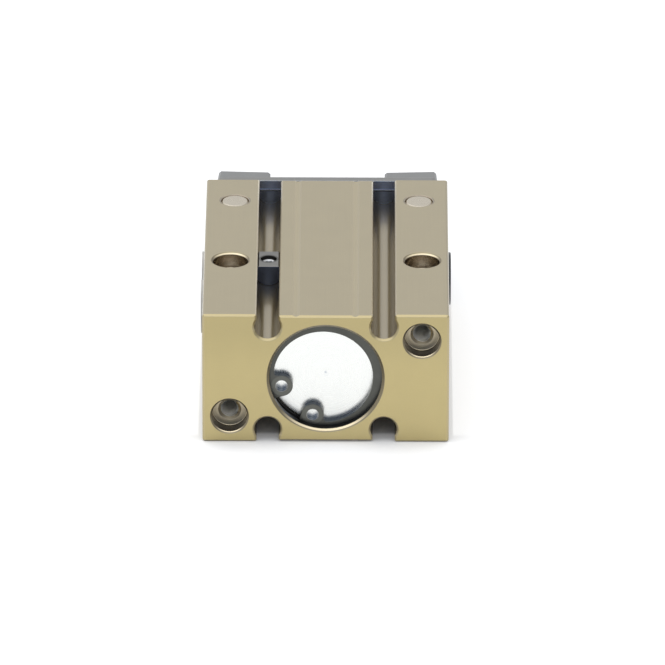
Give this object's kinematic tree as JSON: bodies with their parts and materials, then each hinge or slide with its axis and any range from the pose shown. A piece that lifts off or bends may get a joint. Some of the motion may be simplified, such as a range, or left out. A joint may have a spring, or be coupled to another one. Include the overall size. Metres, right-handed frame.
{
  "type": "angular gripper",
  "caption": "Small pneumatic angular gripper: a slotted metal block whose piston swings a pair of steel jaws on pivot pins to grip and release.",
  "frame": {"origin": "centre of the rear mounting face, on the piston's axis", "axes": "+Y along the gripper from the rear face to the jaws, +Z out of the upper wide face, +X the way the right jaw opens"},
  "size_m": [0.0358, 0.0623, 0.0198],
  "materials": {
    "anodised": "satin",
    "turned_aluminium": "polished",
    "spring_steel": "satin",
    "jaw_steel": "satin",
    "plate_steel": "satin",
    "ground_steel": "polished",
    "machined_steel": "satin",
    "screw_steel": "satin",
    "dark_steel": "satin",
    "bearing_bronze": "satin",
    "seal_rubber": "matte",
    "pale_polymer": "satin",
    "guide_polymer": "matte",
    "magnet_alloy": "matte"
  },
  "bodies": {
    "housing": {"housing": "anodised", "end_cap": "turned_aluminium", "end_cap_seal": "seal_rubber", "retaining_ring": "spring_steel", "rear_bumper": "seal_rubber", "front_bumper": "seal_rubber", "rod_seal": "seal_rubber", "rod_bush": "bearing_bronze", "front_plate": "plate_steel", "front_plate_screws": "screw_steel", "left_port_rings": "pale_polymer", "right_port_plug": "dark_steel", "left_pivot_pin": "ground_steel", "right_pivot_pin": "ground_steel", "left_thrust_washers": "ground_steel", "right_thrust_washers": "ground_steel"},
    "drive": {"piston": "turned_aluminium", "piston_seal": "seal_rubber", "piston_guide_ring": "guide_polymer", "magnet": "magnet_alloy", "magnet_cap": "turned_aluminium", "piston_screw": "screw_steel", "piston_rod": "ground_steel", "driver": "machined_steel", "driver_screw": "screw_steel", "left_drive_pin": "ground_steel", "right_drive_pin": "ground_steel"},
    "left_jaw": {"left_jaw": "jaw_steel", "left_jaw_bush": "bearing_bronze"},
    "right_jaw": {"right_jaw": "jaw_steel", "right_jaw_bush": "bearing_bronze"},
    "slot_stop": {"slot_stop": "dark_steel", "slot_stop_screw": "screw_steel"}
  },
  "joints": [
    {"name": "piston_slide", "type": "slide", "parent": "housing", "child": "drive", "axis": [0, 1, 0], "range_m": [0, 0.00358]},
    {"name": "left_jaw_swing", "type": "hinge", "parent": "housing", "child": "left_jaw", "pos_m": [-0.0133, 0.0399, 0], "axis": [0, 0, 1], "range_deg": [0, 23]},
    {"name": "right_jaw_swing", "type": "hinge", "parent": "housing", "child": "right_jaw", "pos_m": [0.0133, 0.0399, 0], "axis": [0, 0, -1], "range_deg": [0, 23]},
    {"name": "slot_stop_slide", "type": "slide", "parent": "housing", "child": "slot_stop", "axis": [0, 1, 0], "range_m": [-0.018, 0.0235]}
  ],
  "couplings": [
    {"joint": "left_jaw_swing", "follows": "piston_slide", "rad_per_m": 112.1},
    {"joint": "right_jaw_swing", "follows": "piston_slide", "rad_per_m": 112.1}
  ]
}
